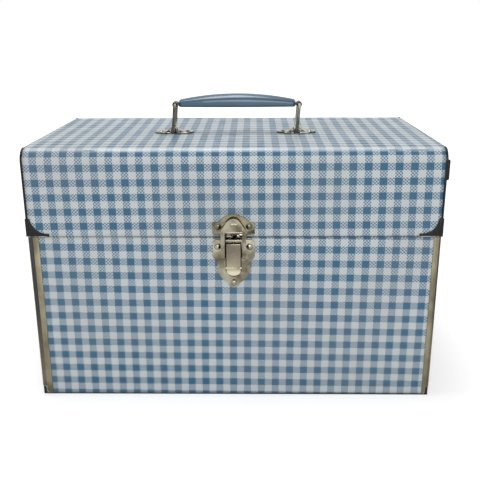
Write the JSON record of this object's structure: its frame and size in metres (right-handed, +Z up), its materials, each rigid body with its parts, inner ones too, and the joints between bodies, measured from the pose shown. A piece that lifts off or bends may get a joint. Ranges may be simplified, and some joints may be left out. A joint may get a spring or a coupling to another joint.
{
  "type": "sewing box",
  "caption": "Covered wooden box with a hinged lid, draw latch, folding top handle, metal corner edging and swing-out trays inside.",
  "frame": {"origin": "middle of the underside, on the surface the box stands on", "axes": "+Z up, +X to the right along the box's length, the latch and front face -Y"},
  "size_m": [0.3042, 0.1852, 0.2229],
  "materials": {
    "wood": "unvarnished board",
    "gingham_vinyl": "coated woven check, slight gloss",
    "black_vinyl": "glossy black vinyl",
    "quilted_lining": "quilted cotton",
    "nickel": "aged nickel plate",
    "edging_metal": "dull nickel, faint brushing",
    "black_metal": "black enamel",
    "steel": "zinc plated strip",
    "tray_plastic": "moulded ivory plastic",
    "blue_grip": "glossy blue moulded plastic"
  },
  "bodies": {
    "body": {"body_floor_board": "wood", "body_front_board": "wood", "body_back_board": "wood", "body_end_board_left": "wood", "body_end_board_right": "wood", "base_cover": "black_vinyl", "body_front_cover": "gingham_vinyl", "body_back_cover": "gingham_vinyl", "body_end_covers": "black_vinyl", "floor_pad": "quilted_lining", "edging_front": "edging_metal", "edging_back": "edging_metal", "hinge_leaves_body": "nickel", "hinge_pins": "nickel", "hinge_rivets_body": "nickel", "latch_base": "nickel", "latch_base_rivets": "nickel", "lever_pin": "nickel", "arm_studs": "steel"},
    "lid": {"lid_top_board": "wood", "lid_front_board": "wood", "lid_back_board": "wood", "lid_end_board_left": "wood", "lid_end_board_right": "wood", "lid_front_rail": "wood", "lid_back_rail": "wood", "lid_lining": "quilted_lining", "lid_cover": "gingham_vinyl", "lid_end_covers": "black_vinyl", "lid_edging": "black_vinyl", "corner_guards_front": "black_metal", "corner_guards_back": "black_metal", "side_plate": "black_metal", "side_plate_rivets": "nickel", "hinge_leaves_lid": "nickel", "hinge_rivets_lid": "nickel", "strike_plate": "nickel", "strike_rivets": "nickel", "handle_foot_left": "nickel", "handle_foot_right": "nickel", "handle_rivets": "nickel", "lid_link_pins": "steel"},
    "lever": {"latch_lever": "nickel", "hasp_rod": "nickel"},
    "hasp": {"hasp": "nickel"},
    "loop_left": {"handle_loop_left": "nickel"},
    "loop_right": {"handle_loop_right": "nickel"},
    "grip": {"handle_core": "nickel", "handle_grip": "blue_grip"},
    "front_arms": {"front_arms": "steel"},
    "rear_arms": {"rear_arms": "steel", "arm_link_pins": "steel"},
    "drive_links": {"drive_links": "steel"},
    "lower_tray": {"lower_tray": "tray_plastic", "lower_tray_pins": "steel", "lower_tray_dividers": "tray_plastic"},
    "upper_tray": {"upper_tray": "tray_plastic", "upper_tray_pins": "steel", "upper_tray_dividers": "tray_plastic"}
  },
  "joints": [
    {"name": "lid_hinge", "type": "hinge", "parent": "body", "child": "lid", "pos_m": [0, 0.0886, 0.1283], "axis": [-1, 0, 0], "range_deg": [0, 105]},
    {"name": "lever_pivot", "type": "hinge", "parent": "body", "child": "lever", "pos_m": [0, -0.0904, 0.1228], "axis": [-1, 0, 0], "range_deg": [0, 150]},
    {"name": "hasp_swing", "type": "hinge", "parent": "lever", "child": "hasp", "pos_m": [0, -0.0896, 0.1145], "axis": [-1, 0, 0], "range_deg": [-190, 0]},
    {"name": "handle_fold", "type": "hinge", "parent": "lid", "child": "loop_left", "pos_m": [-0.0489, -0.008, 0.1947], "axis": [0, 1, 0], "range_deg": [-74, 66]},
    {"name": "handle_fold_right", "type": "hinge", "parent": "lid", "child": "loop_right", "pos_m": [0.0489, -0.008, 0.1947], "axis": [0, 1, 0], "range_deg": [-74, 66]},
    {"name": "grip_level", "type": "hinge", "parent": "loop_left", "child": "grip", "pos_m": [-0.0473, -0.008, 0.2145], "axis": [0, 1, 0], "range_deg": [-66, 74]},
    {"name": "front_arm_swing", "type": "hinge", "parent": "body", "child": "front_arms", "pos_m": [0, -0.006, 0.106], "axis": [-1, 0, 0], "range_deg": [0, 71]},
    {"name": "rear_arm_swing", "type": "hinge", "parent": "body", "child": "rear_arms", "pos_m": [0, 0.044, 0.106], "axis": [-1, 0, 0], "range_deg": [0, 71]},
    {"name": "link_swing", "type": "hinge", "parent": "rear_arms", "child": "drive_links", "pos_m": [0, 0.02695, 0.12041], "axis": [-1, 0, 0], "range_deg": [-71, 0]},
    {"name": "lower_tray_level", "type": "hinge", "parent": "front_arms", "child": "lower_tray", "pos_m": [0, -0.0331, 0.1383], "axis": [-1, 0, 0], "range_deg": [-71, 0]},
    {"name": "upper_tray_level", "type": "hinge", "parent": "front_arms", "child": "upper_tray", "pos_m": [0, -0.05534, 0.1648], "axis": [-1, 0, 0], "range_deg": [-71, 0]}
  ],
  "couplings": [
    {"joint": "hasp_swing", "follows": "lever_pivot", "ratio": -1.25},
    {"joint": "handle_fold_right", "follows": "handle_fold", "ratio": 1},
    {"joint": "grip_level", "follows": "handle_fold", "ratio": -1},
    {"joint": "front_arm_swing", "follows": "lid_hinge", "ratio": 0.66667},
    {"joint": "rear_arm_swing", "follows": "lid_hinge", "ratio": 0.66667},
    {"joint": "link_swing", "follows": "lid_hinge", "ratio": -0.66667},
    {"joint": "lower_tray_level", "follows": "lid_hinge", "ratio": -0.66667},
    {"joint": "upper_tray_level", "follows": "lid_hinge", "ratio": -0.66667}
  ]
}
